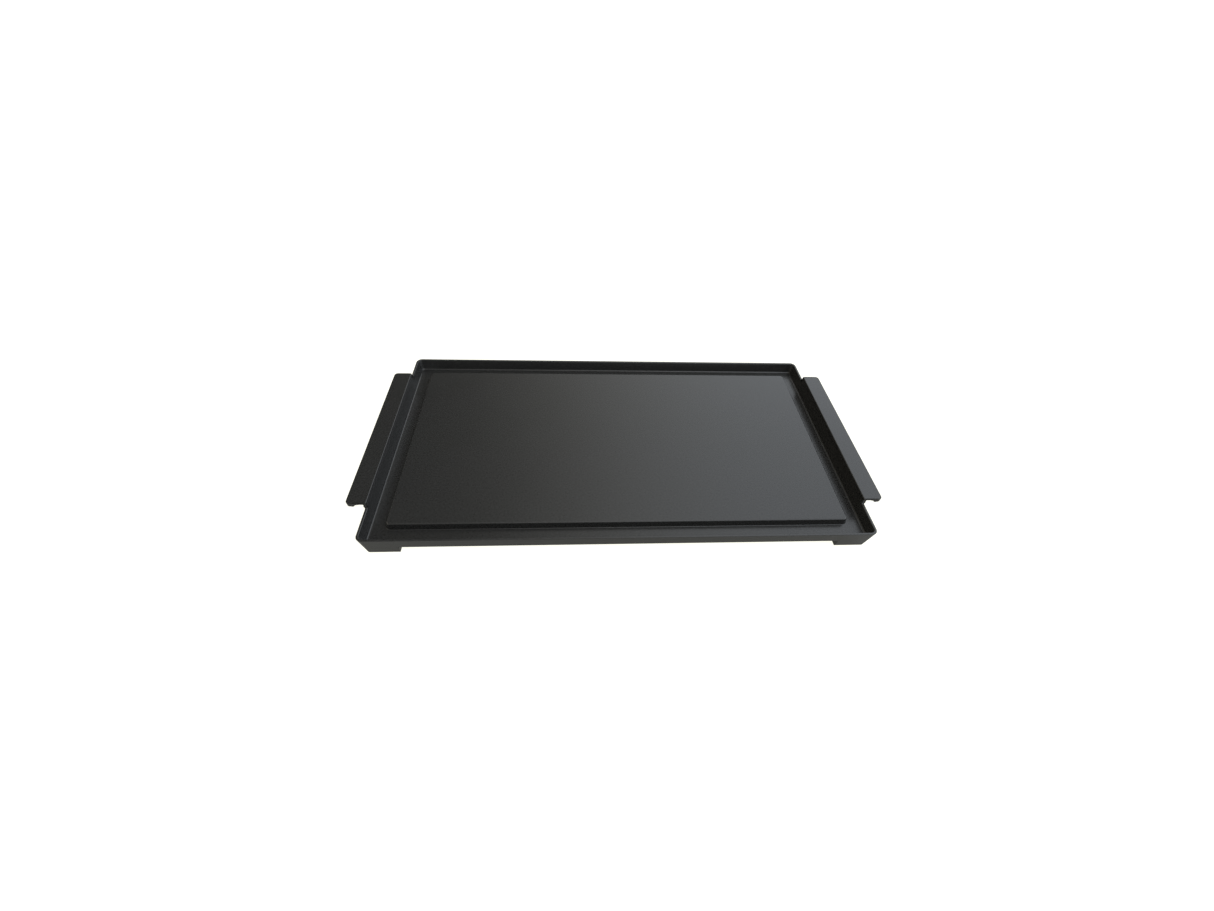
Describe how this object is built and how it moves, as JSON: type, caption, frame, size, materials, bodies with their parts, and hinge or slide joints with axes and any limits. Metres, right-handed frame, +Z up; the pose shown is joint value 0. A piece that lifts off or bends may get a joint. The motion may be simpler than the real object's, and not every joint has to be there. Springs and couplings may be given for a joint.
{
  "type": "electric griddle",
  "caption": "Low cast tray griddle with a raised flat cooking surface, a drip channel, side handles and a sheathed heating element underneath.",
  "frame": {"origin": "on the table under the middle of the whole object, 5.15 mm behind the middle of the rim because the inlet housing stands out at the back", "axes": "+X towards the right handle, +Y towards the back with the inlet, +Z up"},
  "size_m": [0.5984, 0.3176, 0.0369],
  "materials": {
    "nonstick_coating": "satin",
    "sheath_steel": "satin",
    "magnesia": "matte",
    "resistance_alloy": "satin",
    "plain_steel": "satin",
    "ceramic": "satin",
    "brass": "satin",
    "phenolic_moulding": "satin",
    "glass_fibre_mat": "matte",
    "galvanised_sheet": "satin",
    "silicone": "matte"
  },
  "bodies": {
    "root": {"bottom_cover": "galvanised_sheet", "clamp_screw_centre": "plain_steel", "clamp_screw_front_left": "plain_steel", "clamp_screw_front_right": "plain_steel", "clamp_screw_left": "plain_steel", "clamp_screw_rear_left": "plain_steel", "clamp_screw_rear_right": "plain_steel", "clamp_screw_right": "plain_steel", "cover_screw_front_centre": "plain_steel", "cover_screw_front_left": "plain_steel", "cover_screw_front_right": "plain_steel", "cover_screw_middle_left": "plain_steel", "cover_screw_middle_right": "plain_steel", "cover_screw_rear_centre": "plain_steel", "cover_screw_rear_left": "plain_steel", "cover_screw_rear_right": "plain_steel", "earth_contact": "brass", "earth_contact_screw": "plain_steel", "element_clamp_centre": "plain_steel", "element_clamp_front_left": "plain_steel", "element_clamp_front_right": "plain_steel", "element_clamp_left": "plain_steel", "element_clamp_rear_left": "plain_steel", "element_clamp_rear_right": "plain_steel", "element_clamp_right": "plain_steel", "element_magnesia_fill": "magnesia", "element_resistance_coil": "resistance_alloy", "element_sheath": "sheath_steel", "foot_pad_front_left": "silicone", "foot_pad_front_right": "silicone", "foot_pad_rear_left": "silicone", "foot_pad_rear_right": "silicone", "griddle_plate": "nonstick_coating", "housing_screw_left": "plain_steel", "housing_screw_right": "plain_steel", "inlet_housing": "phenolic_moulding", "insulation_mat": "glass_fibre_mat", "pin_insulator_left": "ceramic", "pin_insulator_right": "ceramic", "sensor_sleeve": "plain_steel", "terminal_pin_left": "plain_steel", "terminal_pin_right": "plain_steel"}
  },
  "joints": []
}
